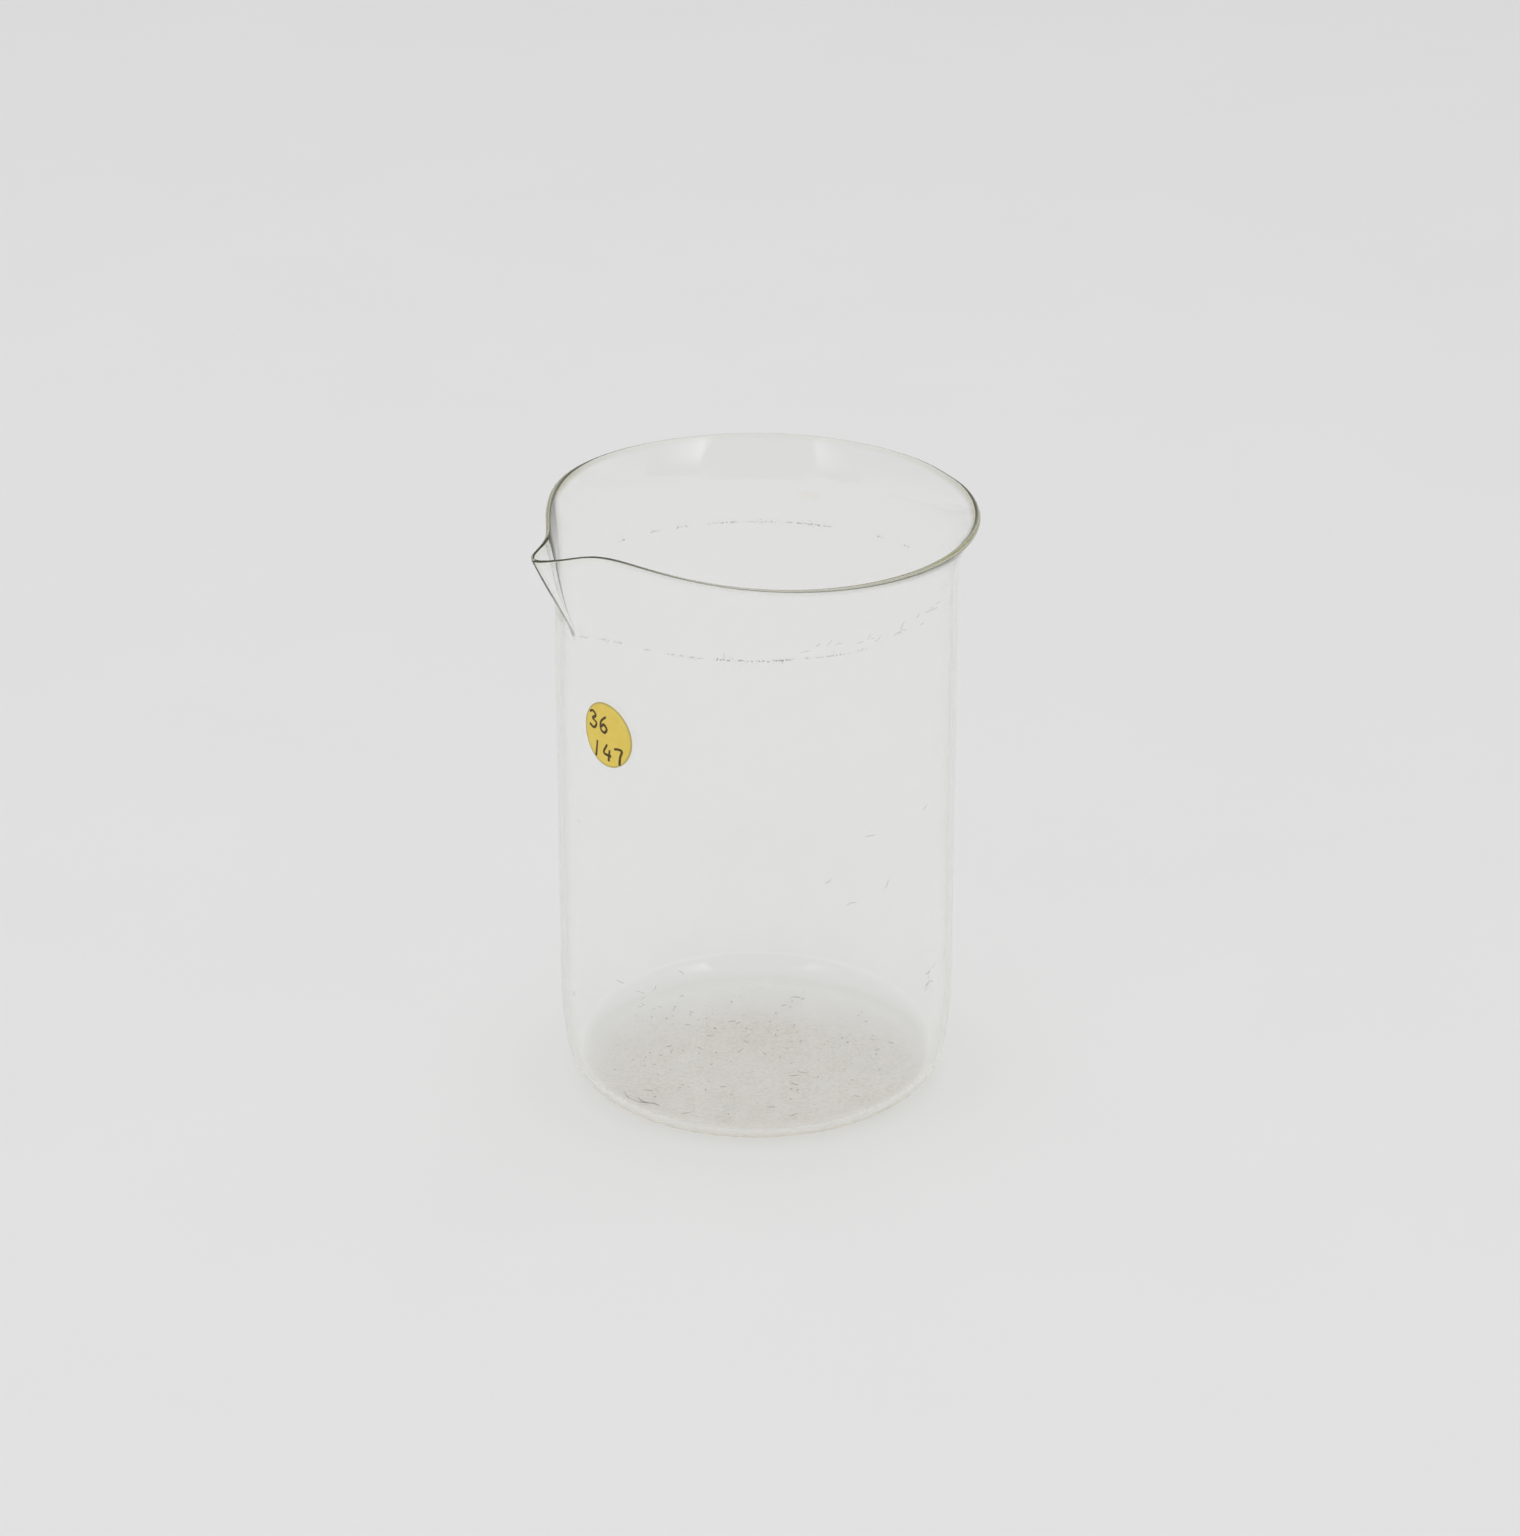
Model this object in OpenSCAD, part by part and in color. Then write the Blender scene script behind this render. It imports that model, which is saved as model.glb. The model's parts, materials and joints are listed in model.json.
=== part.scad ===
// Laboratory beaker: one piece of thin blown glass with a flat base, a straight
// wall, a flared fire-polished rim and one pouring spout, and a round paper dot
// stuck to the wall below the spout.
// Millimetres. +Z is up, the origin is the centre of the underside, the spout
// points along -X and the glass is symmetric about the XZ plane.

/* [Body] */

// Outside diameter of the straight wall
body_d = 78; // [60:1:100]
// Thickness of the wall
wall_t = 1.2; // [0.9:0.1:2]
// Thickness of the base
base_t = 1.4; // [1:0.1:3]
// Outside radius of the rounded heel between the base and the wall
heel_r = 7; // [4:0.5:10]
// How far the wall draws in above the heel
heel_draw = 1.2; // [0.4:0.1:2]
// Height over which the wall draws in to the heel
heel_draw_h = 15; // [8:1:25]

/* [Rim] */

// Height of the middle of the rim's bead, well away from the spout
rim_h = 118; // [100:1:150]
// How far the rim flares out beyond the middle of the wall
rim_flare = 4; // [2:0.5:7]
// Height over which the wall turns out into the rim
rim_turn_h = 11; // [6:0.5:14]
// Angle through which the wall turns out at the rim
rim_turn = 40; // [25:5:60]

/* [Spout] */

// How far the rim is drawn back in on both sides of the spout
pinch_in = 4.2; // [1:0.1:5]
// Angle over which that drawing in fades
pinch_spread = 70; // [40:5:90]
// How far the rim rises on both sides of the spout
shoulder_rise = 3.2; // [0:0.1:6]
// Angle over which that rise fades
shoulder_spread = 65; // [40:5:90]
// How far the spout's wide part stands out
swell_out = 3.2; // [1:0.1:6]
// Angle over which the wide part fades
swell_spread = 21; // [15:1:35]
// How far the narrow beak stands out beyond the wide part
beak_out = 5.2; // [2:0.1:8]
// Angle over which the beak fades
beak_spread = 5.6; // [4.5:0.1:9]
// How far the beak's lip drops below the rim beside it
beak_dip = 4.2; // [1:0.1:6]
// Angle over which that drop fades
dip_spread = 13; // [10:1:25]
// Height from the foot of the beak's ridge to the rim
spout_h = 18.6; // [14:0.1:26]
// Width of the beak at its foot, as a share of its width at the lip
foot_width = 0.3; // [0.2:0.05:1]

/* [Paper dot] */

// Diameter of the dot
dot_d = 13; // [8:1:19]
// Thickness of the paper
dot_t = 0.12; // [0.08:0.01:0.3]
// Thickness of the adhesive film between the paper and the glass
film_t = 0.02; // [0.01:0.01:0.05]
// Drop from the foot of the spout's ridge to the dot's centre
dot_drop = 15.6; // [12:0.1:50]
// Angle from the spout round to the dot's centre
dot_angle = 17.4; // [-90:0.1:90]

/* [Hidden] */

body_r = body_d / 2;
mid_r = body_r - wall_t / 2;
spout_foot = rim_h - spout_h;

// How far a cut runs past what it cuts
past = 1;

// Above the heel the wall draws in along a large circle, which leaves the
// straight wall as a tangent at draw_top and meets the heel's circle, of
// centre heel_c, as a tangent draw_angle further down.
draw_angle = 2 * atan(heel_draw / heel_draw_h);
draw_r = heel_draw_h / sin(draw_angle);
draw_steps = 4;
draw_top = heel_r * (1 - sin(draw_angle)) + heel_draw_h;
heel_c = body_r - heel_draw - heel_r * cos(draw_angle);

// The rim and spout are one band of facets. Its lower end is let into the top
// of the straight wall, and it is a hair thinner than the wall on both sides.
band_z = spout_foot - 2;
band_sunk = 0.6;
band_inset = 0.04;
band_t = wall_t - 2 * band_inset;

// Angles of the band's columns, closest together at the spout
fine_zone = 24;
fine_steps = 15;
fine_power = 1.3;
coarse_steps = 36;
half_angles = concat(
    [for (i = [0 : fine_steps]) fine_zone * pow(i / fine_steps, fine_power)],
    [for (i = [1 : coarse_steps]) fine_zone + (180 - fine_zone) * i / coarse_steps]
);
angles = concat([for (i = [len(half_angles) - 2 : -1 : 1]) -half_angles[i]], half_angles);

// Levels of the band's rows: 0 to 1 is the plain wall, 1 to 2 is the turn
wall_rows = 8;
turn_rows = 6;
bead_rows = 4;
levels = concat(
    [for (i = [0 : wall_rows - 1]) i / wall_rows],
    [for (i = [0 : turn_rows]) 1 + i / turn_rows]
);

function unit(v) = v / norm(v);
function bell(x, spread) = exp(-pow(x / spread, 2));

// From 0 at 0 to 1 at 1, straight but for a soft start
ease = 0.16;
function ramp(x) = x <= 0 ? 0
    : x < ease ? x * x / (2 * ease - ease * ease)
    : (x - ease / 2) / (1 - ease / 2);

// Height of the middle of the rim's bead at an angle from the spout
function rim_z(a) = rim_h + shoulder_rise * bell(a, shoulder_spread)
    - beak_dip * bell(a, dip_spread);

// Point on the middle of the glass at an angle from the spout and a level
function mid_point(a, level) = let (
    top = rim_z(a),
    low = top - rim_turn_h,
    turn = rim_turn * max(0, level - 1),
    z = level < 1 ? band_z + (low - band_z) * level
        : low + rim_turn_h * sin(turn) / sin(rim_turn),
    out = rim_flare - pinch_in * bell(a, pinch_spread),
    flare = out * (1 - cos(turn)) / (1 - cos(rim_turn)),
    up = (z - spout_foot) / (top - spout_foot),
    width = foot_width + (1 - foot_width) * max(0, up),
    swell = swell_out * bell(a, swell_spread * width),
    beak = beak_out * bell(a, beak_spread * width),
    r = mid_r + flare + (swell + beak) * ramp(up)
) [-r * cos(a), -r * sin(a), z];

// Directions round and up that middle surface, by small differences, and its
// outward normal
step_a = 0.05;
step_level = 0.005;
function across(a, level) = mid_point(a + step_a, level) - mid_point(a - step_a, level);
function upward(a, level) = mid_point(a, min(2, level + step_level))
    - mid_point(a, level - step_level);
function normal(a, level) = unit(cross(across(a, level), upward(a, level)));

// Rings of points round the band: its outer and inner skins, the rounded bead
// along the rim, and the end let into the wall. side is 1 outside, -1 inside.
function skin(level, side) = [for (a = angles)
    mid_point(a, level) + side * band_t / 2 * normal(a, level)];
function bead(turn) = [for (a = angles)
    mid_point(a, 2) + band_t / 2 * (cos(turn) * normal(a, 2) + sin(turn) * unit(upward(a, 2)))];
function sunk(side) = let (r = mid_r + side * band_t / 2) [for (a = angles)
    [-r * cos(a), -r * sin(a), band_z - band_sunk]];

module glass_vessel() {
    color([0.82, 0.88, 0.86, 0.4]) union() {
        rotate_extrude($fn = 96) body_section();
        rim_band();
    }
}

module paper_dot() {
    color([0.87, 0.79, 0.36]) rotate([0, 0, 180 + dot_angle]) intersection() {
        dot_tube();
        translate([0, 0, spout_foot - dot_drop]) rotate([0, 90, 0])
            cylinder(d = dot_d, h = body_d, $fn = 72);
    }
}

// Half section of the base, heel and straight wall
module body_section() {
    difference() {
        section_fill(0, 0, band_z);
        section_fill(wall_t, base_t, band_z + past);
        translate([-body_r, -past]) square([body_r, band_z + 3 * past]);
    }
}

// All that lies inside one face of the glass, inset from the outer face, from
// its floor to its top
module section_fill(inset, floor_z, top) {
    corner_r = heel_r - inset;
    corner_z = floor_z + corner_r;
    arc_r = draw_r - inset;
    arc_z = draw_top + corner_z - heel_r;
    draw = [for (i = [0 : draw_steps]) let (t = draw_angle * i / draw_steps)
        [body_r - draw_r + arc_r * cos(t), arc_z - arc_r * sin(t)]];
    polygon(concat(
        [[0, floor_z], [0, top], [body_r - inset, top]],
        draw,
        [[heel_c, corner_z], [heel_c, floor_z]]
    ));
    translate([heel_c, corner_z]) circle(r = corner_r, $fn = 48);
}

// The upper wall, flared rim and spout as one closed skin
module rim_band() {
    rings = concat(
        [sunk(1)],
        [for (level = levels) skin(level, 1)],
        [for (i = [1 : bead_rows - 1]) bead(180 * i / bead_rows)],
        [for (i = [len(levels) - 1 : -1 : 0]) skin(levels[i], -1)],
        [sunk(-1)]
    );
    n = len(angles);
    m = len(rings);
    faces = [for (i = [0 : m - 1]) for (j = [0 : n - 1]) let (
        next_i = (i + 1) % m,
        next_j = (j + 1) % n,
        a = i * n + j,
        b = i * n + next_j,
        c = next_i * n + next_j,
        d = next_i * n + j
    ) each [[a, d, c], [a, c, b]]];
    polyhedron(points = [for (ring = rings) each ring], faces = faces, convexity = 6);
}

// Thin tube one adhesive film outside the wall, about the dot's height
module dot_tube() {
    film_r = body_r + film_t;
    translate([0, 0, spout_foot - dot_drop - dot_d]) difference() {
        cylinder(r = film_r + dot_t, h = 2 * dot_d, $fn = 360);
        translate([0, 0, -past]) cylinder(r = film_r, h = 2 * (dot_d + past), $fn = 360);
    }
}

glass_vessel();
paper_dot();
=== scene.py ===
# A laboratory beaker of thin clear glass with a round paper dot on its wall.
# Metres, +Z up. The origin is the centre of the underside and the spout points
# along -X. Angles are in degrees. They run round from the spout, so that 180 is
# opposite it, unless they are said to run from +X towards +Y.

import json
import math

import bpy
import numpy as np
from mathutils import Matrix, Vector


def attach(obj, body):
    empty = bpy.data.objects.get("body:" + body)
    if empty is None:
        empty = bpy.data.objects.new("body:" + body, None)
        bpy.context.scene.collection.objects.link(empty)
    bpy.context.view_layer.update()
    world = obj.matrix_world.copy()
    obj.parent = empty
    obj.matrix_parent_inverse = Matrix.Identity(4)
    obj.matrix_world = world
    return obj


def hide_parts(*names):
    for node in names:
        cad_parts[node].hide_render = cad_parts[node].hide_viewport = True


MM = 0.001

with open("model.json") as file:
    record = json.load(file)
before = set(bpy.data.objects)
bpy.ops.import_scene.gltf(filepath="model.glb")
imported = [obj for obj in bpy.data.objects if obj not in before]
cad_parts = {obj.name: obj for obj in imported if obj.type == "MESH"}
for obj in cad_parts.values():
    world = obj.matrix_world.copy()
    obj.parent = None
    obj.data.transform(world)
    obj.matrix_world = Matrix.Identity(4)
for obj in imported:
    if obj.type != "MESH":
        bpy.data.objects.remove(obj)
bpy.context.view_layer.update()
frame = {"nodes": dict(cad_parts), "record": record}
mounts = {m["name"]: m for m in frame["record"]["mounts"]}

# Sizes of the glass

body_r = mounts["wall"]["dims"]["r_mm"] * MM
wall_t = 1.2 * MM
base_t = 1.4 * MM
mid_r = body_r - wall_t / 2
inner_r = body_r - wall_t
heel_r = 7 * MM
heel_draw = 1.2 * MM
heel_draw_h = 15 * MM
rim_h = 118 * MM
rim_flare = 4 * MM
rim_turn_h = 11 * MM
rim_turn = 40
pinch_in, pinch_spread = 4.2 * MM, 70
shoulder_rise, shoulder_spread = 3.2 * MM, 65
swell_out, swell_spread = 3.2 * MM, 21
beak_out, beak_spread = 5.2 * MM, 5.6
beak_dip, dip_spread = 4.2 * MM, 13
foot_width = 0.3
spout_foot = rim_h - 18.6 * MM
band_z = spout_foot - 2 * MM

# The glass thins over the taper's length to its thickness at the rim's edge,
# which is least beside the spout, where the glass was drawn out
edge_t, edge_drawn = 0.96 * MM, 0.40 * MM
drawn_at, drawn_spread = 38, 58
taper_len = 3.2 * MM
# The fire-polished bead ran thicker in two places: how much, and the angle and
# spread of each
run_thick = 0.32 * MM
bead_runs = ((142, 36), (-38, 24))
# The spout's own glass is thinner down to its foot
spout_thin, spout_spread = 0.25 * MM, 22
# A stretch of the rim opposite the spout is a little flattened
flat_in, flat_at, flat_spread = 0.25 * MM, -177, 7
# The material takes the spout to be closer to the rim than it is: by which share
# of the distance, and the angle over which that fades
closer_share, closer_spread = 0.65, 35

# Length of the turned-out glass, measured along it
turn_arc = rim_turn_h / math.sin(math.radians(rim_turn)) * math.radians(rim_turn)

# The large circle of the draw-in above the heel, and the heel circle's centre
draw_angle = 2 * math.atan(heel_draw / heel_draw_h)
draw_r = heel_draw_h / math.sin(draw_angle)
draw_top = heel_r * (1 - math.sin(draw_angle)) + heel_draw_h
heel_c = body_r - heel_draw - heel_r * math.cos(draw_angle)

# Sizes of the paper dot

dot_d = 13 * MM
dot_angle = 17.4
dot_z = spout_foot - 15.6 * MM
# Radius of the paper's face, which lies outside the wall by its own thickness
# and that of the adhesive
paper_r = body_r + 0.14 * MM

# Sizes and places of the marks

# How far a mark lies off the face that carries it
lift = 0.02 * MM

# The dust film ends on a circle about a point on one side of the middle, and is
# thickest at a point on the other side. Both lie along this angle.
film_at = 63.94
film_shift, heap_shift = 18.2 * MM, -10 * MM
film_edge, film_fade = 37.7 * MM, 10 * MM
film_top = heel_r - 2 * MM
film_strength = 0.090

# Grains on the base: how many, the least width in mm, how much wider the widest
# are, and how strongly the rest tend to the least
grain_count = 130
grain_least, grain_more, grain_bias = 0.15, 0.27, 2.5
# The largest ones, by their x, y and width in mm
large_grains = [
    (-15.9, -20.2, 0.40), (-16.4, -21.8, 0.25), (3.1, 10.9, 0.4), (12.0, 5.3, 0.3),
    (18.9, -3.5, 0.45), (21.6, -11.0, 0.35), (-18.8, -5.2, 0.35),
]

# Hairs on the base: how many, their range of lengths in mm, and how far they
# bend as a share of half their length. Most lie near one direction, measured
# from +X.
hair_count = 45
hair_lengths, hair_bend = (0.5, 2.2), 0.3
hair_way, hair_spread = -26.06, 40
hair_r = 0.07 * MM

# A forked fibre on the base beside the heel, by the x and y of its points in mm
fibre_paths = [
    [(-30.5, -2.8), (-30.7, -5.1), (-30.5, -6.9), (-29.6, -8.2), (-28.2, -9.3)],
    [(-28.9, -6.1), (-29.0, -7.8), (-28.2, -9.3), (-26.9, -10.1)],
]
fibre_r = 0.075 * MM

# A broken scuffed ring inside the neck: the height of its middle, half the height
# of its sheets, how far it slants up and at which angle most, and how far it
# dips at the spout
ring_z = 102.7 * MM
ring_half = 1.2 * MM
ring_slant, slant_at = 1.3 * MM, 65
ring_dip, ring_dip_spread = 2.6 * MM, 13
# Its stretches: the angles where each starts and ends, and how worn it is
ring_stretches = [
    (3, 9, "faint"), (12, 18, "faint"), (19.5, 23, "faint"), (30, 33, "faint"), (37, 50, "faint"),
    (51, 76, "clear"), (76, 98, "faint"), (-99, -142, "faint"), (-82, -86, "faint"),
    (-91, -95, "faint"), (-69, -73, "faint"), (-155, -158, "faint"), (-166, -169, "faint"),
]

# Fine squiggles on the outside of the wall. Each group: its angle, its height in
# mm, its spread round in degrees and up in mm, and how many
squiggle_r = 0.07 * MM
squiggle_groups = [
    (86, 106.2, 4.5, 0.6, 3), (98, 105.9, 4.5, 0.8, 4), (106, 105.4, 3.5, 0.9, 3),
    (55, 105.3, 0.5, 0.8, 1), (76, 105.4, 0.5, 0.8, 1), (112, 105.9, 3.5, 1.5, 3),
    (121, 107.2, 4.0, 1.2, 4), (129, 109.4, 4.0, 1.4, 4), (122, 28.5, 5.0, 3.0, 9),
    (-4, 23.4, 0.3, 1.2, 3), (2, 62, 0.6, 0.6, 1), (32, 32, 12, 6, 9), (90, 62, 25, 18, 5),
]
# A squiggle has 3 to 5 points. The step from one to the next is at most this long
# round in degrees and up in mm. It starts at a slope in radians with a spread of
# its own, and the slope wanders from step to step.
squiggle_points = (3, 6)
step_round, step_up = 0.85, 0.50
slope, slope_spread, slope_wander = 0.35, 0.35, 0.45


# Mesh helpers

def make_mesh(name, points, faces, material, smooth=True):
    """A linked mesh object from points in metres and faces by index."""
    mesh = bpy.data.meshes.new(name)
    mesh.from_pydata([tuple(p) for p in points], [], [tuple(f) for f in faces])
    mesh.polygons.foreach_set("use_smooth", [smooth] * len(mesh.polygons))
    mesh.update()
    mesh.materials.append(material)
    piece = bpy.data.objects.new(name, mesh)
    bpy.context.scene.collection.objects.link(piece)
    return piece


def ring_faces(rows, columns, first=0):
    """Quads between closed rings of points that follow each other."""
    return [
        (first + i * columns + j, first + i * columns + (j + 1) % columns,
         first + (i + 1) * columns + (j + 1) % columns, first + (i + 1) * columns + j)
        for i in range(rows - 1) for j in range(columns)
    ]


def grid_faces(rows, columns, first=0):
    """Quads between open rows of points that follow each other."""
    return [
        (first + i * columns + j, first + i * columns + j + 1,
         first + (i + 1) * columns + j + 1, first + (i + 1) * columns + j)
        for i in range(rows - 1) for j in range(columns - 1)
    ]


# The vessel's surface

def bell(x, spread):
    """1 at 0, fading to nothing on both sides."""
    return np.exp(-(x / spread) ** 2)


def apart(a, b):
    """Degrees from b to a, the short way round."""
    return (a - b + 180) % 360 - 180


def smooth_step(x):
    """From 0 at 0 to 1 at 1, with a soft start and end."""
    x = np.clip(x, 0, 1)
    return x * x * (3 - 2 * x)


def ramp(x, ease=0.16):
    """From 0 at 0 to 1 at 1, straight but for a soft start."""
    soft = x * x / (2 * ease - ease * ease)
    straight = (x - ease / 2) / (1 - ease / 2)
    return np.where(x <= 0, 0, np.where(x < ease, soft, straight))


def rim_z(a):
    """Height of the middle of the rim's bead at angles from the spout."""
    return rim_h + shoulder_rise * bell(a, shoulder_spread) - beak_dip * bell(a, dip_spread)


def mid_point(a, level):
    """The middle of the glass at angles a from the spout: level 0 to 1 is the
    plain wall above the straight part, 1 to 2 the turn out to the rim."""
    top = rim_z(a)
    low = top - rim_turn_h
    turn = math.radians(rim_turn) * max(0.0, level - 1)
    if level < 1:
        z = band_z + (low - band_z) * level
    else:
        z = low + rim_turn_h * math.sin(turn) / math.sin(math.radians(rim_turn))
    out = rim_flare - pinch_in * bell(a, pinch_spread)
    flare = out * (1 - math.cos(turn)) / (1 - math.cos(math.radians(rim_turn)))
    up = (z - spout_foot) / (top - spout_foot)
    width = foot_width + (1 - foot_width) * np.maximum(0, up)
    swell = swell_out * bell(a, swell_spread * width)
    beak = beak_out * bell(a, beak_spread * width)
    flat = flat_in * bell(apart(a, flat_at), flat_spread) * max(0.0, level - 1) ** 3
    r = mid_r + flare + (swell + beak) * ramp(up) - flat
    return np.stack([-r * np.cos(np.radians(a)), -r * np.sin(np.radians(a)), z], -1)


def unit(v):
    """Vectors along v, one unit long."""
    return v / np.linalg.norm(v, axis=-1, keepdims=True)


def upward(a, level, step=0.005):
    """Direction up the middle surface, by a small difference."""
    return mid_point(a, min(2.0, level + step)) - mid_point(a, level - step)


def normal(a, level, step=0.05):
    """Outward normal of the middle surface."""
    across = mid_point(a + step, level) - mid_point(a - step, level)
    return unit(np.cross(across, upward(a, level)))


def below_rim(level):
    """Distance down the glass from the rim's edge, as it is away from the spout."""
    if level > 1:
        return turn_arc * (2 - level)
    return turn_arc + (1 - level) * (rim_h - rim_turn_h - band_z)


def bead_run(a):
    """From 0 to 1 where the rim's bead is thickest."""
    return sum(bell(apart(a, at), spread) for at, spread in bead_runs)


def thickness(a, level):
    """Thickness of the glass, as a column that scales a ring's normals."""
    edge = edge_t - edge_drawn * bell(apart(a, drawn_at), drawn_spread)
    edge = edge + run_thick * bead_run(a)
    full = 1 - math.exp(-below_rim(level) / taper_len)
    thin = spout_thin * bell(a, spout_spread) * full * smooth_step(level)
    return (edge + (wall_t - edge) * full - thin)[:, None]


def skin(a, level, side):
    """Ring on the outer (side 1) or inner (side -1) face."""
    return mid_point(a, level) + side * thickness(a, level) / 2 * normal(a, level)


def bead(a, turn):
    """Ring round the fire-polished edge, turn 0 outside to 180 inside."""
    turn = math.radians(turn)
    way = math.cos(turn) * normal(a, 2) + math.sin(turn) * unit(upward(a, 2))
    return mid_point(a, 2) + thickness(a, 2) / 2 * way


def spin(a, r, z):
    """Ring of radius r at height z."""
    return np.stack([-r * np.cos(np.radians(a)), -r * np.sin(np.radians(a)),
                     np.full_like(a, z)], -1)


def spot(a, r, z):
    """One point at an angle from the spout, a radius and a height."""
    return spin(np.array([a], float), r, z)[0]


# Where the rings of the floor lie, as shares of its flat part
floor_shares = (0.12, 0.3, 0.5, 0.7, 0.85, 0.95, 1)


def lower_profile(inset, floor_z, corner_steps=16, draw_steps=8, wall_steps=10):
    """(radius, height) up one face of the glass, from its floor to the top of
    the straight wall."""
    corner_r = heel_r - inset
    corner_z = floor_z + corner_r
    arc_r = draw_r - inset
    arc_z = draw_top + corner_z - heel_r
    flat = [(heel_c * share, floor_z) for share in floor_shares]
    corner = [(heel_c + corner_r * math.cos(t), corner_z + corner_r * math.sin(t))
              for t in np.linspace(-math.pi / 2, -draw_angle, corner_steps + 1)[1:]]
    draw = [(body_r - draw_r + arc_r * math.cos(t), arc_z - arc_r * math.sin(t))
            for t in np.linspace(draw_angle, 0, draw_steps + 1)[1:]]
    wall = [(body_r - inset, z) for z in np.linspace(arc_z, band_z, wall_steps + 1)[1:-1]]
    return flat + corner + draw + wall


def half_angles(zone=24, fine=34, power=1.3, coarse=110):
    """Angles from the spout to the back, closest together at the spout."""
    near = [zone * (i / fine) ** power for i in range(fine + 1)]
    return near + [zone + (180 - zone) * i / coarse for i in range(1, coarse + 1)]


def turn_levels(steps=20, power=1.8):
    """Levels from 1 to 2, closest together at the rim's bead."""
    return [2 - (1 - i / steps) ** power for i in range(steps + 1)]


def make_vessel(material, bead_steps=9, wall_steps=14):
    """The whole glass as one closed skin: up its outer face, over the bead and
    down its inner face."""
    half = half_angles()
    a = np.array([-x for x in half[-2:0:-1]] + half)
    levels = [i / wall_steps for i in range(wall_steps)] + turn_levels()
    rings = [spin(a, r, z) for r, z in lower_profile(0, 0)]
    rings += [skin(a, level, 1) for level in levels]
    rings += [bead(a, 180 * (i + 1) / (bead_steps + 1)) for i in range(bead_steps)]
    rings += [skin(a, level, -1) for level in reversed(levels)]
    rings += [spin(a, r, z) for r, z in reversed(lower_profile(wall_t, base_t))]
    points = [(0, 0, 0), (0, 0, base_t)] + [p for ring in rings for p in ring]
    n = len(a)
    faces = ring_faces(len(rings), n, 2)
    faces += [(0, 2 + (j + 1) % n, 2 + j) for j in range(n)]
    last = 2 + (len(rings) - 1) * n
    faces += [(1, last + j, last + (j + 1) % n) for j in range(n)]
    vessel = make_mesh("glass_vessel_skin", points, faces, material)
    add_value(vessel, "below_rim", distances(a, levels, bead_steps))
    add_value(vessel, "bead_run", np.concatenate([[0, 0]] + [bead_run(a)] * len(rings)))
    return vessel


def distances(a, levels, bead_steps, far=60 * MM):
    """Distance of each point below the rim, for the material. The spout counts
    as closer to the rim than it is, down to its foot."""
    closer = 1 - closer_share * bell(a, closer_spread)
    edge = np.zeros_like(a)
    band = [below_rim(level) * closer for level in levels]
    lower = [far + edge] * len(lower_profile(0, 0))
    return np.concatenate([[far, far]] + lower + band + [edge] * bead_steps + band[::-1] + lower)


def add_value(piece, name, values):
    """Gives each point of a mesh a number that its material reads by name."""
    layer = piece.data.attributes.new(name, "FLOAT", "POINT")
    layer.data.foreach_set("value", values)


# Marks on the glass

def wall_sheet(name, start, end, low, high, r, tilt, material, rows=5, fewest_columns=6):
    """A thin sheet on the wall between two angles and two heights, with 0 to 1
    across it both ways as its UV map. tilt gives a height to add at an angle."""
    columns = max(fewest_columns, round(abs(end - start)) + 1)
    a = np.linspace(start, end, columns)
    x, y = -r * np.cos(np.radians(a)), -r * np.sin(np.radians(a))
    points = []
    for z in np.linspace(low, high, rows):
        points += list(np.stack([x, y, z + tilt(a)], -1))
    piece = make_mesh(name, points, grid_faces(rows, columns), material)
    layer = piece.data.uv_layers.new(name="across")
    for loop in piece.data.loops:
        i = loop.vertex_index
        layer.data[loop.index].uv = ((i % columns) / (columns - 1), (i // columns) / (rows - 1))
    return piece


def make_base_film(material, columns=120):
    """Dried dust stuck to the inside of the base and the start of the heel. It
    lies a hair inside the glass, so that it shows wherever the glass is seen."""
    a = np.linspace(-180, 180, columns, endpoint=False)
    profile = [(r, z) for r, z in lower_profile(wall_t - lift, base_t - lift) if z < film_top]
    rings = [spin(a, r, z) for r, z in reversed(profile)]
    points = [p for ring in rings for p in ring] + [(0, 0, base_t - lift)]
    last = (len(rings) - 1) * columns
    faces = ring_faces(len(rings), columns)
    faces += [(last + columns, last + j, last + (j + 1) % columns) for j in range(columns)]
    return make_mesh("base_film", points, faces, material)


def make_specks(name, places, widths, material, sides=6, uneven=0.35, height=0.3):
    """One mesh of small flat-bottomed grains, each a squat pyramid of unequal
    sides. Its height is a share of its width."""
    up = np.array([0, 0, 1.0])
    side = unit(np.cross(up, (0.3, 0.9, 0.1)))
    other = np.cross(up, side)
    points, faces = [], []
    for place, width in zip(places, widths):
        first = len(points)
        for k in range(sides):
            t = math.radians(360 * k / sides)
            reach = width / 2 * (1 + uneven * math.sin(2.3 * k + 900 * width / MM))
            points.append(place + reach * (math.cos(t) * side + math.sin(t) * other))
        points.append(place + height * width * up)
        faces += [(first + k, first + (k + 1) % sides, first + sides) for k in range(sides)]
        faces.append(tuple(first + k for k in reversed(range(sides))))
    return make_mesh(name, points, faces, material, smooth=False)


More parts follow.
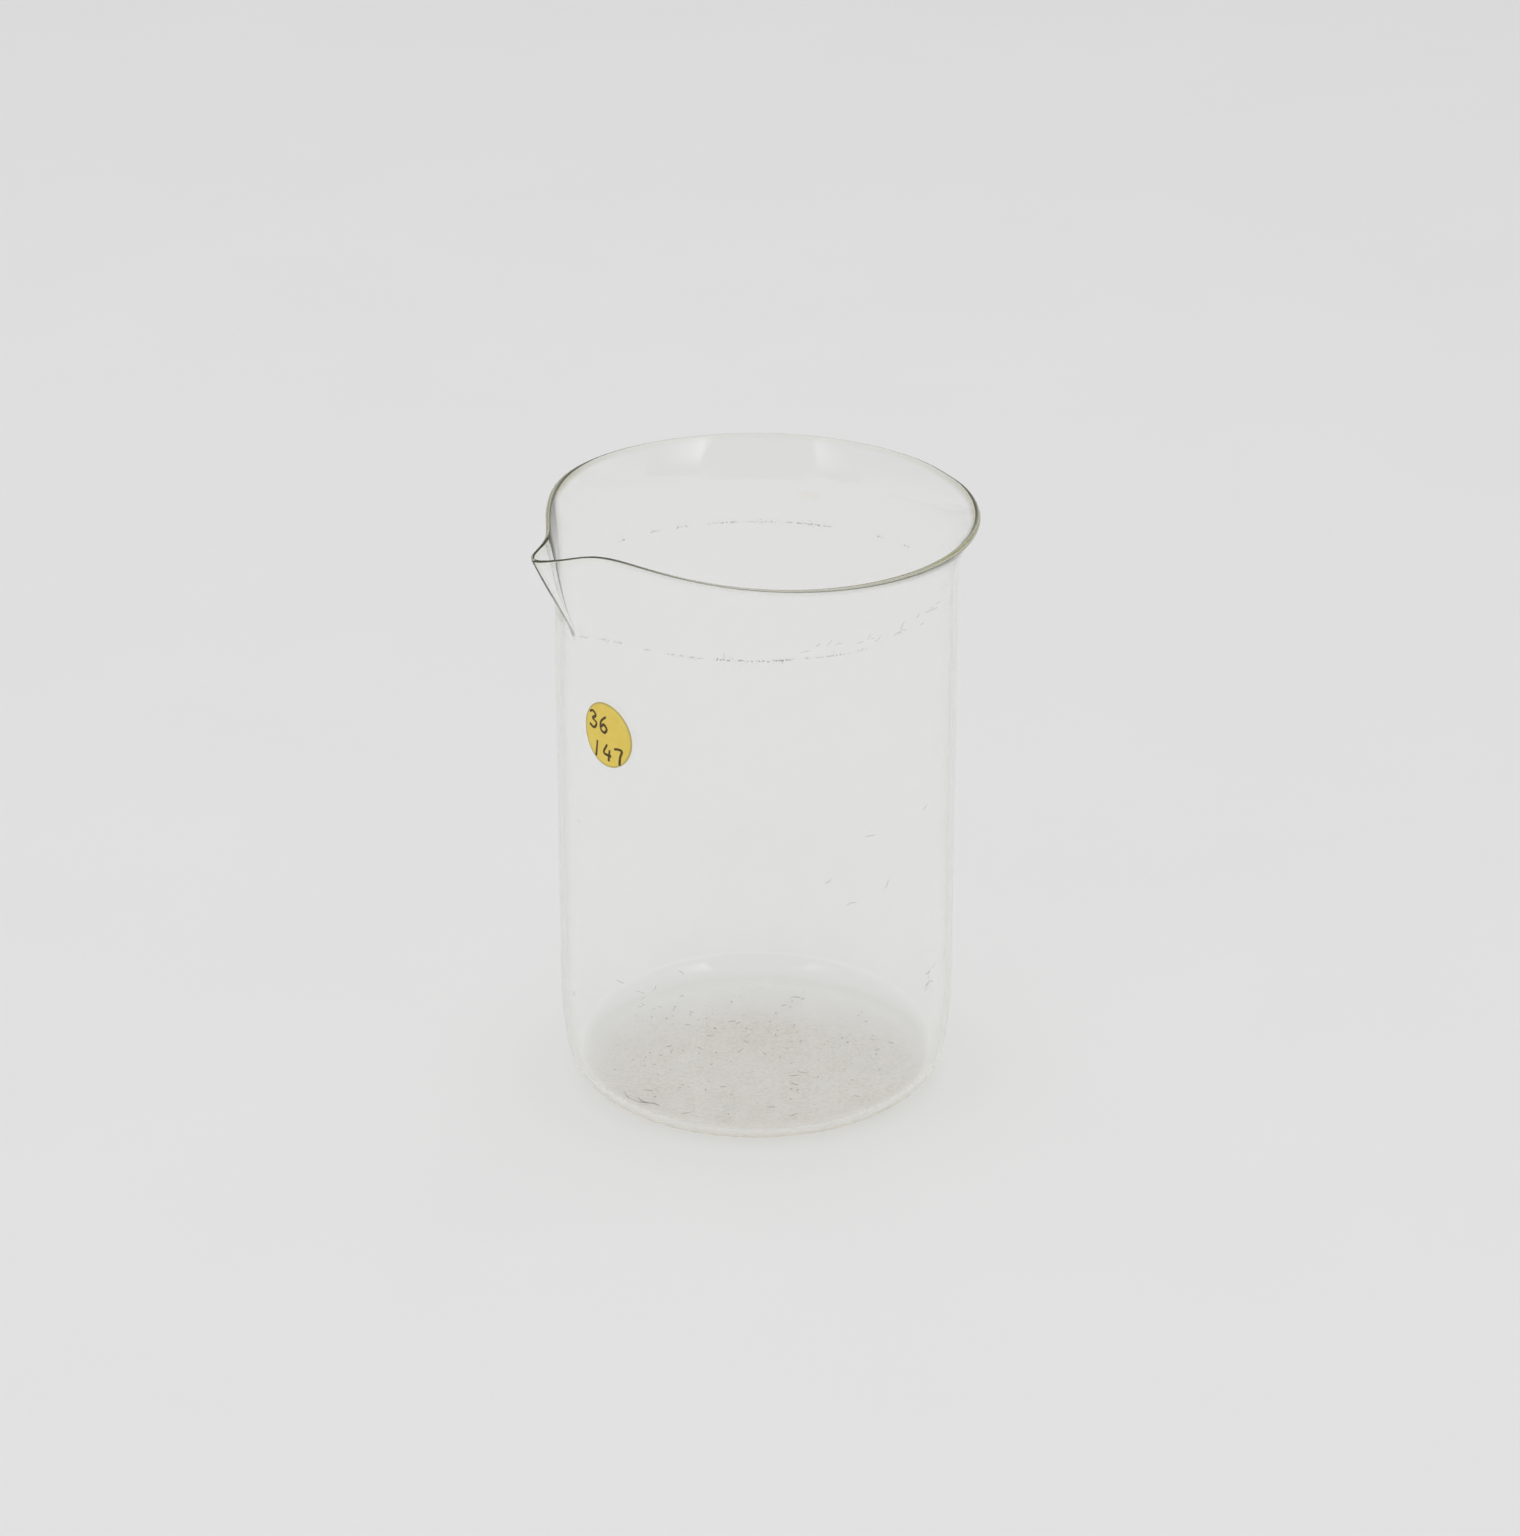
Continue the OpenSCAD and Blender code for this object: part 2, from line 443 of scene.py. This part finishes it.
def make_thread(name, paths, radius, material, sides=6, tip=0.35):
    """Round threads through the points of each path, as one mesh. They taper to
    a share of their radius at both tips."""
    points, faces = [], []
    for path in paths:
        path = smooth_path(path)
        first = len(points)
        for i, p in enumerate(path):
            along = unit(path[min(i + 1, len(path) - 1)] - path[max(i - 1, 0)])
            side = unit(np.cross(along, (0, 0, 1)))
            over = np.cross(side, along)
            thin = radius * (tip + (1 - tip) * math.sin(math.pi * (i + 1) / (len(path) + 1)))
            for k in range(sides):
                t = 2 * math.pi * k / sides
                points.append(p + thin * (math.cos(t) * side + math.sin(t) * over))
        faces += ring_faces(len(path), sides, first)
    return make_mesh(name, points, faces, material)


def smooth_path(path, steps=8):
    """Points along a smooth curve through the points of a path."""
    p = [np.array(q, float) for q in path]
    p = [2 * p[0] - p[1]] + p + [2 * p[-1] - p[-2]]
    curve = []
    for i in range(1, len(p) - 2):
        for t in np.arange(steps) / steps:
            curve.append(0.5 * (
                2 * p[i] + (p[i + 1] - p[i - 1]) * t
                + (2 * p[i - 1] - 5 * p[i] + 4 * p[i + 1] - p[i + 2]) * t ** 2
                + (3 * p[i] - p[i - 1] - 3 * p[i + 1] + p[i + 2]) * t ** 3))
    return np.array(curve + [p[-2]])


def make_grit(random, material):
    """Grains scattered over the base, and the large ones at their own places."""
    reach = (heel_c - 0.5 * MM) * np.sqrt(random.random(grain_count))
    around = random.uniform(0, 360, grain_count)
    widths = (grain_least + grain_more * random.random(grain_count) ** grain_bias) * MM
    places = [spot(a, r, base_t) for r, a in zip(reach, around)]
    places += [(x * MM, y * MM, base_t) for x, y, width in large_grains]
    widths = np.append(widths, [width * MM for x, y, width in large_grains])
    return make_specks("base_grit", places, widths, material)


def make_hairs(random, material):
    """Short bent hairs among the grains."""
    paths = []
    for i in range(hair_count):
        reach = (heel_c - 1 * MM) * math.sqrt(random.random())
        around = random.uniform(0, 360)
        length = random.uniform(*hair_lengths) * MM
        turn = math.radians(random.normal(hair_way, hair_spread))
        middle = spot(around, reach, base_t + 0.06 * MM)
        step = length / 2 * np.array([math.cos(turn), math.sin(turn), 0])
        bend = random.uniform(-hair_bend, hair_bend) * np.array([-step[1], step[0], 0])
        paths.append([middle - step, middle + bend, middle + step])
    return make_thread("base_hairs", paths, hair_r, material)


def make_fibre(material):
    """The forked fibre, lying on the base."""
    z = base_t + 0.1 * MM
    paths = [[(x * MM, y * MM, z) for x, y in path] for path in fibre_paths]
    return make_thread("fibre", paths, fibre_r, material)


def ring_tilt(a):
    """The ring is worn at a slight slant, and dips near the spout."""
    return ring_slant * np.cos(np.radians(a - slant_at)) - ring_dip * bell(a, ring_dip_spread)


def make_ring(materials):
    """The scuffed ring, one sheet to a stretch. materials are by how worn it is."""
    low, high = ring_z - ring_half, ring_z + ring_half
    return [
        wall_sheet("scuff_%02d" % i, start, end, low, high, inner_r - lift, ring_tilt, materials[worn])
        for i, (start, end, worn) in enumerate(ring_stretches)
    ]


def make_squiggles(random, material):
    """Small wandering threads that lie on the outside of the straight wall,
    most of them nearly level."""
    paths = []
    for around, up, spread, rise, number in squiggle_groups:
        for i in range(number):
            a = random.normal(around, spread / 2)
            z = random.normal(up, rise / 2)
            turn = random.normal(slope, slope_spread)
            path = []
            for k in range(random.integers(*squiggle_points)):
                path.append(spot(a, body_r + squiggle_r, z * MM))
                a += step_round * math.cos(turn)
                z += step_up * math.sin(turn)
                turn += random.normal(0, slope_wander)
            paths.append(path)
    return make_thread("wall_squiggles", paths, squiggle_r, material)


# Pen figures on the dot

# Strokes of each figure in a box one unit high, its foot at the origin
figure_strokes = {
    "1": [[(0.32, 1.0), (0.26, 0.5), (0.18, 0.0)]],
    "3": [[(0.02, 0.86), (0.3, 1.0), (0.56, 0.8), (0.24, 0.54)],
          [(0.24, 0.54), (0.62, 0.36), (0.4, 0.04), (0.0, 0.14)]],
    "4": [[(0.3, 1.0), (0.02, 0.42), (0.62, 0.36)], [(0.5, 0.72), (0.4, 0.0)]],
    "6": [[(0.56, 0.98), (0.16, 0.6), (0.12, 0.16), (0.4, 0.0), (0.62, 0.24), (0.4, 0.46), (0.14, 0.3)]],
    "7": [[(0.0, 0.88), (0.3, 0.96), (0.6, 0.92), (0.46, 0.5), (0.4, 0.0)]],
}
figure_advance = 0.86
pen_width = 0.58 * MM
# Each row: figures, then where its left foot is, right and up from the dot's
# centre, and its height
pen_rows = [("36", -5.1 * MM, 0.3 * MM, 3.5 * MM), ("147", -3.8 * MM, -5.3 * MM, 3.4 * MM)]


def on_dot(right, up, lifted):
    """Point on the dot's face, by the distance right and up from its centre."""
    t = math.radians(180 + dot_angle) + right / paper_r
    r = paper_r + lifted
    return np.array([r * math.cos(t), r * math.sin(t), dot_z + up])


def make_pen_figures(material):
    """Flat ribbons along the strokes of each figure, bent round with the dot."""
    points, faces = [], []
    for figures, left, foot, height in pen_rows:
        for place, figure in enumerate(figures):
            for stroke in figure_strokes[figure]:
                path = [(left + (x + figure_advance * place) * height, foot + y * height)
                        for x, y in stroke]
                path = smooth_path(path)
                first = len(points)
                for i, p in enumerate(path):
                    along = unit(path[min(i + 1, len(path) - 1)] - path[max(i - 1, 0)])
                    across = np.array([-along[1], along[0]])
                    half = pen_width / 2 * (0.8 + 0.3 * i / len(path))
                    for side in (-half, half):
                        points.append(on_dot(*(p + side * across), 0.3 * lift))
                faces += [(first + 2 * i, first + 2 * i + 1, first + 2 * i + 3, first + 2 * i + 2)
                          for i in range(len(path) - 1)]
    return make_mesh("pen_figures", points, faces, material)


# Materials

# Refraction of the glass, its tint with depth, and how strong that is
glass_ior = 1.5
depth_tint, depth_density = (0.95, 0.95, 0.72, 1), 20.0
# Tint of the glass in its rim, and the darker olive painted shade where the rim's
# bead is thick, and how far down it reaches in each
rim_tint, run_painted_shade = (0.975, 0.975, 0.94, 1), (0.58, 0.57, 0.42, 1)
rim_reach, run_reach = 1.1 * MM, 1.9 * MM
# Light counts as trapped in the glass from its third reflection on. There the glass
# turns matt in a painted colour: a dark painted shade in the rim and a pale painted
# light in the wall, and the distances below the rim between which one turns into the other
trapped_depth = 2.5
rim_painted_shade, wall_painted_light = (0.085, 0.085, 0.05, 1), (0.92, 0.92, 0.89, 1)
glow_start, glow_end = 1.4 * MM, 11 * MM
# What passes to the shadow through glass that faces the light and that turns its
# edge to it
flat_pass, edge_pass = (0.995, 0.995, 0.994, 1), (0.76, 0.76, 0.74, 1)
white = (1, 1, 1, 1)


def new_material(name):
    """A material's node tree with its Principled shader."""
    material = bpy.data.materials.new(name)
    material.use_nodes = True
    return material, material.node_tree, material.node_tree.nodes["Principled BSDF"]


def add_node(tree, kind, feeds=None, **settings):
    """A shader node with its settings. feeds gives inputs a value or a socket."""
    made = tree.nodes.new("ShaderNode" + kind)
    for key, value in settings.items():
        setattr(made, key, value)
    for key, value in (feeds or {}).items():
        feed(tree, made.inputs[key], value)
    return made


def feed(tree, socket, value):
    """Links a socket into an input, or sets the input to a value."""
    if isinstance(value, bpy.types.NodeSocket):
        tree.links.new(value, socket)
    else:
        socket.default_value = value


def calc(tree, operation, *values):
    """Result of a Math node."""
    return add_node(tree, "Math", dict(enumerate(values)), operation=operation).outputs[0]


def stretch(tree, value, low, high, to_low=0.0, to_high=1.0):
    """Maps low to high onto another range, held at both ends."""
    feeds = {"Value": value, "From Min": low, "From Max": high, "To Min": to_low, "To Max": to_high}
    return add_node(tree, "MapRange", feeds, interpolation_type="SMOOTHSTEP").outputs[0]


def blend(tree, factor, first, second):
    """Mix of two colours."""
    return add_node(tree, "Mix", {0: factor, 6: first, 7: second}, data_type="RGBA").outputs[2]


def noise(tree, size, detail=3.0, rough=0.5):
    """Noise with spots of about this size, from the object's own coordinates."""
    place = add_node(tree, "TexCoord").outputs["Object"]
    feeds = {"Vector": place, "Scale": 1 / size, "Detail": detail, "Roughness": rough}
    return add_node(tree, "TexNoise", feeds).outputs["Fac"]


def glass_material():
    """Clear glass, olive in its rim, with a darker painted shade where the bead runs
    thick. Light trapped in the glass from its third reflection on shows a matt
    painted colour: painted shade in the rim, painted light in the wall. Lamps
    shine straight through."""
    material, tree, shader = new_material("clear_glass")
    shader.inputs["Roughness"].default_value = 0.0
    shader.inputs["IOR"].default_value = glass_ior
    path = add_node(tree, "LightPath")
    below = add_node(tree, "Attribute", attribute_name="below_rim").outputs["Fac"]
    trapped = calc(tree, "GREATER_THAN", path.outputs["Glossy Depth"], trapped_depth)
    run = add_node(tree, "Attribute", attribute_name="bead_run").outputs["Fac"]
    # Where the bead runs thick the rim is tinted darker olive: painted shade
    tint = blend(tree, run, rim_tint, run_painted_shade)
    reach = calc(tree, "MULTIPLY_ADD", run, run_reach - rim_reach, rim_reach)
    tint = blend(tree, stretch(tree, below, 0.0, reach), tint, white)
    # Trapped light takes a painted colour: painted shade near the rim, painted light further down the
    # wall
    glow = blend(tree, stretch(tree, below, glow_start, glow_end), rim_painted_shade, wall_painted_light)
    feed(tree, shader.inputs["Base Color"], blend(tree, trapped, tint, glow))
    feed(tree, shader.inputs["Transmission Weight"], calc(tree, "SUBTRACT", 1.0, trapped))
    body = add_node(tree, "VolumeAbsorption", {"Color": depth_tint, "Density": depth_density})
    straight = calc(tree, "MAXIMUM", path.outputs["Is Shadow Ray"], path.outputs["Is Diffuse Ray"])
    edge_on = stretch(tree, add_node(tree, "LayerWeight", {"Blend": 0.5}).outputs["Facing"], 0.72, 1.0)
    clear = add_node(tree, "BsdfTransparent", {"Color": blend(tree, edge_on, flat_pass, edge_pass)})
    mix = add_node(tree, "MixShader", {0: straight, 1: shader.outputs[0], 2: clear.outputs[0]})
    output = tree.nodes["Material Output"]
    feed(tree, output.inputs["Surface"], mix.outputs[0])
    feed(tree, output.inputs["Volume"], body.outputs[0])
    return material


def paper_material():
    """Matt yellow paper with short fibres, greyer towards its edge."""
    material, tree, shader = new_material("yellow_paper")
    place = add_node(tree, "TexCoord").outputs["Object"]
    centre = tuple(on_dot(0, 0, 0))
    away = add_node(tree, "VectorMath", {0: place, 1: centre}, operation="DISTANCE").outputs["Value"]
    cloud = stretch(tree, noise(tree, 1.6 * MM), 0.3, 0.7)
    fibre = noise(tree, 0.16 * MM, detail=4.0, rough=0.7)
    paper = blend(tree, cloud, (0.88, 0.655, 0.115, 1), (0.90, 0.695, 0.145, 1))
    paper = blend(tree, stretch(tree, fibre, 0.56, 0.72, 0.0, 0.25), paper, (0.74, 0.50, 0.07, 1))
    edge = stretch(tree, away, dot_d / 2 - 0.5 * MM, dot_d / 2 - 0.1 * MM, 0.0, 0.62)
    feed(tree, shader.inputs["Base Color"], blend(tree, edge, paper, (0.36, 0.33, 0.17, 1)))
    shader.inputs["Roughness"].default_value = 0.75
    bump = add_node(tree, "Bump", {"Height": fibre, "Strength": 0.25, "Distance": 0.02 * MM})
    feed(tree, shader.inputs["Normal"], bump.outputs[0])
    return material


def ink_material():
    """Brown-black pen ink that soaked in unevenly."""
    material, tree, shader = new_material("pen_ink")
    soaked = stretch(tree, noise(tree, 0.3 * MM, detail=4.0), 0.35, 0.7)
    ink = blend(tree, soaked, (0.045, 0.022, 0.004, 1), (0.16, 0.085, 0.012, 1))
    feed(tree, shader.inputs["Base Color"], ink)
    shader.inputs["Roughness"].default_value = 0.6
    return material


def flecks(tree, size, turn):
    """Short marks of about this width and twice as long, turned about +Z."""
    place = add_node(tree, "TexCoord").outputs["Object"]
    feeds = {"Vector": place, "Rotation": (0, 0, math.radians(turn)), "Scale": (1 / 2, 1, 1)}
    turned = add_node(tree, "Mapping", feeds).outputs[0]
    feeds = {"Vector": turned, "Scale": 1 / size, "Detail": 2.0, "Roughness": 0.5}
    return stretch(tree, add_node(tree, "TexNoise", feeds).outputs["Fac"], 0.62, 0.70)


def film_material():
    """Dried brown dust with fine grain and darker flecks. It lies off centre, so
    it fades out on one side of the base, and everywhere as it climbs the heel."""
    material, tree, shader = new_material("dried_dust")
    place = add_node(tree, "TexCoord").outputs["Object"]
    feeds = {0: place, 1: tuple(spot(film_at, film_shift, 0))}
    away = add_node(tree, "VectorMath", feeds, operation="DISTANCE").outputs["Value"]
    fade = stretch(tree, away, film_edge - film_fade, film_edge + film_fade, 1.0, 0.0)
    height = add_node(tree, "SeparateXYZ", {0: place}).outputs["Z"]
    low = stretch(tree, height, base_t + 0.5 * MM, base_t + 2.0 * MM, 1.0, 0.0)
    fade = calc(tree, "MULTIPLY", fade, low)
    feeds = {0: place, 1: tuple(spot(film_at, heap_shift, 0))}
    off_heap = add_node(tree, "VectorMath", feeds, operation="DISTANCE").outputs["Value"]
    heap = stretch(tree, off_heap, 0.0, 15 * MM, 1.25, 1.0)
    blotch = stretch(tree, noise(tree, 5 * MM, detail=5.0, rough=0.65), 0.3, 0.7, 0.80, 1.20)
    grain = stretch(tree, noise(tree, 0.8 * MM, detail=4.0, rough=0.75), 0.42, 0.72, 0.80, 2.0)
    marks = calc(tree, "MAXIMUM", flecks(tree, 0.50 * MM, 15), flecks(tree, 0.45 * MM, 115))
    thick = calc(tree, "MULTIPLY", calc(tree, "MULTIPLY", blotch, heap), fade)
    fine = calc(tree, "MULTIPLY_ADD", marks, 1.5, grain)
    thick = calc(tree, "MULTIPLY", calc(tree, "MULTIPLY", thick, fine), film_strength)
    feed(tree, shader.inputs["Alpha"], thick)
    hue = stretch(tree, noise(tree, 6 * MM), 0.4, 0.6)
    dust = blend(tree, hue, (0.47, 0.31, 0.17, 1), (0.43, 0.33, 0.17, 1))
    feed(tree, shader.inputs["Base Color"], dust)
    shader.inputs["Roughness"].default_value = 0.9
    return material


def scuff_material(name, strength, core=0.10, grain_size=0.40 * MM):
    """Worn marks in the glass: a broken line along the middle of the UV map,
    of the given share of its height, among scattered grains."""
    material, tree, shader = new_material(name)
    uv = add_node(tree, "SeparateXYZ", {0: add_node(tree, "TexCoord").outputs["UV"]})
    off_middle = calc(tree, "ABSOLUTE", calc(tree, "SUBTRACT", uv.outputs["Y"], 0.5))
    off_centre = calc(tree, "ABSOLUTE", calc(tree, "SUBTRACT", uv.outputs["X"], 0.5))
    ends = stretch(tree, off_centre, 0.38, 0.5, 1.0, 0.0)
    grain = noise(tree, grain_size, detail=3.0, rough=0.6)
    worn = stretch(tree, noise(tree, 8 * grain_size), 0.32, 0.50, 0.15, 1.0)
    line = calc(tree, "MULTIPLY", stretch(tree, off_middle, 0.25 * core, core, 1.0, 0.0),
                stretch(tree, grain, 0.42, 0.60, 0.05, 1.0))
    dots = calc(tree, "MULTIPLY", stretch(tree, off_middle, 0.05, 0.45, 0.9, 0.0),
                stretch(tree, grain, 0.60, 0.66))
    marks = calc(tree, "MULTIPLY", calc(tree, "MAXIMUM", line, dots), worn)
    marks = calc(tree, "MULTIPLY", calc(tree, "MULTIPLY", marks, ends), strength)
    feed(tree, shader.inputs["Alpha"], marks)
    shader.inputs["Base Color"].default_value = (0.13, 0.11, 0.085, 1)
    shader.inputs["Roughness"].default_value = 0.8
    return material


def grit_material(name, dark, light, alpha):
    """Dirt, darker and lighter by turns."""
    material, tree, shader = new_material(name)
    pick = stretch(tree, noise(tree, 3 * MM), 0.4, 0.6)
    feed(tree, shader.inputs["Base Color"], blend(tree, pick, dark, light))
    shader.inputs["Alpha"].default_value = alpha
    shader.inputs["Roughness"].default_value = 0.8
    return material


# Camera, at the photograph's viewing angle

# The photograph's size and the focal length in its pixels
image_w, image_h = 1520, 1536
focal_px = 5060
# The camera's azimuth runs from -Y towards +X
view_azimuth, view_elevation = -26.06, 24.967
view_distance = 994.5 * MM
target_z = 59.08 * MM
camera_pitch = 24.680
camera_yaw = 0.046


def make_camera():
    """Camera at its place, turned a hair off the line to the beaker's middle."""
    data = bpy.data.cameras.new("camera")
    data.sensor_width = 36
    data.lens = focal_px / max(image_w, image_h) * data.sensor_width
    camera = bpy.data.objects.new("camera", data)
    bpy.context.scene.collection.objects.link(camera)
    turn, rise = math.radians(view_azimuth), math.radians(view_elevation)
    camera.location = (
        view_distance * math.sin(turn) * math.cos(rise),
        -view_distance * math.cos(turn) * math.cos(rise),
        target_z + view_distance * math.sin(rise),
    )
    heading = math.radians(view_azimuth - camera_yaw)
    camera.rotation_euler = (math.radians(90 - camera_pitch), 0, heading)
    bpy.context.scene.camera = camera


# Stage

# Strength of the room's own light overhead and, with the glow, at the horizon
room_light, horizon_light = 0.35, 0.72


def floor_material():
    """Matt pale floor, very slightly uneven in tone."""
    material, tree, shader = new_material("pale_floor")
    tone = stretch(tree, noise(tree, 60 * MM, detail=4.0), 0.3, 0.7)
    pale = blend(tree, tone, (0.797, 0.797, 0.797, 1), (0.803, 0.803, 0.803, 1))
    feed(tree, shader.inputs["Base Color"], pale)
    shader.inputs["Roughness"].default_value = 0.9
    shader.inputs["Specular IOR Level"].default_value = 0.2
    return material


def make_floor(half=3.0, z=-0.02 * MM):
    """Square floor, a hair below the base so that the two don't coincide."""
    points = [(-half, -half, z), (half, -half, z), (half, half, z), (-half, half, z)]
    floor = make_mesh("floor", points, [(0, 1, 2, 3)], floor_material(), smooth=False)


def to_side(azimuth, elevation):
    """Direction from the beaker, its azimuth measured from the camera's side."""
    turn, rise = math.radians(view_azimuth + azimuth), math.radians(elevation)
    return Vector((math.sin(turn) * math.cos(rise), -math.cos(turn) * math.cos(rise), math.sin(rise)))


def soft_lamp(name, azimuth, elevation, distance, size, radiance):
    """Large area lamp aimed at the beaker, which never shows in the glass."""
    lamp = bpy.data.lights.new(name, "AREA")
    lamp.size = size
    lamp.energy = radiance * math.pi * size * size
    holder = bpy.data.objects.new(name, lamp)
    bpy.context.scene.collection.objects.link(holder)
    back = to_side(azimuth, elevation)
    holder.location = Vector((0, 0, rim_h / 2)) + distance * back
    holder.rotation_euler = back.to_track_quat("Z", "Y").to_euler()
    holder.visible_glossy = False
    holder.visible_transmission = False


def soft_box_material(radiance):
    """White light, brightest near the panel's inner edge and fading outward,
    upward and downward into the room's own light."""
    material, tree, _ = new_material("soft_box_light")
    uv = add_node(tree, "SeparateXYZ", {0: add_node(tree, "TexCoord").outputs["UV"]})
    outward = stretch(tree, uv.outputs["X"], 0.1, 1.0, 1.0, 0.0)
    inward = stretch(tree, uv.outputs["X"], 0.0, 0.12)
    from_middle = calc(tree, "ABSOLUTE", calc(tree, "SUBTRACT", uv.outputs["Y"], 0.55))
    across = calc(tree, "MULTIPLY", calc(tree, "MULTIPLY", outward, inward),
                  stretch(tree, from_middle, 0.05, 0.45, 1.0, 0.0))
    strength = calc(tree, "ADD", room_light, calc(tree, "MULTIPLY", across, radiance))
    light = add_node(tree, "Emission", {"Color": white, "Strength": strength})
    feed(tree, tree.nodes["Material Output"].inputs["Surface"], light.outputs[0])
    return material


def soft_box(name, hand, inner, outer, material, low=5, high=62, distance=1.6):
    """Glowing panel between two azimuths and two elevations. hand is -1 for the
    left of the camera and 1 for its right."""
    points = [distance * to_side(hand * azimuth, elevation)
              for azimuth, elevation in ((inner, low), (outer, low), (outer, high), (inner, high))]
    points = [p + Vector((0, 0, rim_h / 2)) for p in points]
    panel = make_mesh(name, points, [(0, 1, 2, 3)], material, smooth=False)
    layer = panel.data.uv_layers.new(name="across")
    for loop, corner in zip(layer.data, ((0, 0), (1, 0), (1, 1), (0, 1))):
        loop.uv = corner
    panel.visible_shadow = False


def make_world():
    """White room, brighter towards the horizon except behind the camera."""
    world = bpy.data.worlds.new("studio")
    bpy.context.scene.world = world
    world.use_nodes = True
    tree = world.node_tree
    direction = add_node(tree, "TexCoord").outputs["Generated"]
    up = add_node(tree, "SeparateXYZ", {0: direction}).outputs["Z"]
    sky = tree.nodes["Background"]
    sky.inputs["Color"].default_value = white
    facing = add_node(tree, "VectorMath", {0: direction, 1: to_side(0, 15)}, operation="DOT_PRODUCT")
    dim = stretch(tree, facing.outputs["Value"], 0.80, 0.93, 1.0, 0.0)
    glow = calc(tree, "MULTIPLY", stretch(tree, up, 0.0, 0.5, horizon_light - room_light, 0.0), dim)
    feed(tree, sky.inputs["Strength"], calc(tree, "ADD", glow, room_light))


# Scene

bpy.context.scene.view_settings.view_transform = "Standard"
make_camera()
make_floor()
make_world()
soft_lamp("overhead", azimuth=180, elevation=84, distance=3.2, size=2.4, radiance=3.15)
soft_lamp("fill", azimuth=-38, elevation=30, distance=3.0, size=2.0, radiance=1.5)
soft_box("soft_box_left", hand=-1, inner=34, outer=62, material=soft_box_material(0.85))
soft_box("soft_box_right", hand=1, inner=33, outer=68, material=soft_box_material(1.35))

vessel = make_vessel(glass_material())
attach(vessel, "root")
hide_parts("glass_vessel")

dot = frame["nodes"]["paper_dot"]
dot.data.materials.clear()
dot.data.materials.append(paper_material())

figures = make_pen_figures(ink_material())
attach(figures, "root")

random = np.random.default_rng(4)
dark_grit = grit_material("dark_grit", (0.035, 0.022, 0.01, 1), (0.12, 0.085, 0.045, 1), 0.85)
dull_grit = grit_material("dull_grit", (0.17, 0.12, 0.07, 1), (0.28, 0.21, 0.13, 1), 0.3)
faint_grit = grit_material("faint_grit", (0.16, 0.14, 0.11, 1), (0.24, 0.21, 0.17, 1), 0.12)
scuffs = {"faint": scuff_material("faint_scuff", 0.40), "clear": scuff_material("scuff", 0.62)}

marks = [
    make_base_film(film_material()),
    make_grit(random, dark_grit),
    make_hairs(random, dull_grit),
    make_fibre(dark_grit),
    *make_ring(scuffs),
    make_squiggles(random, faint_grit),
]
for piece in marks:
    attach(piece, "root")
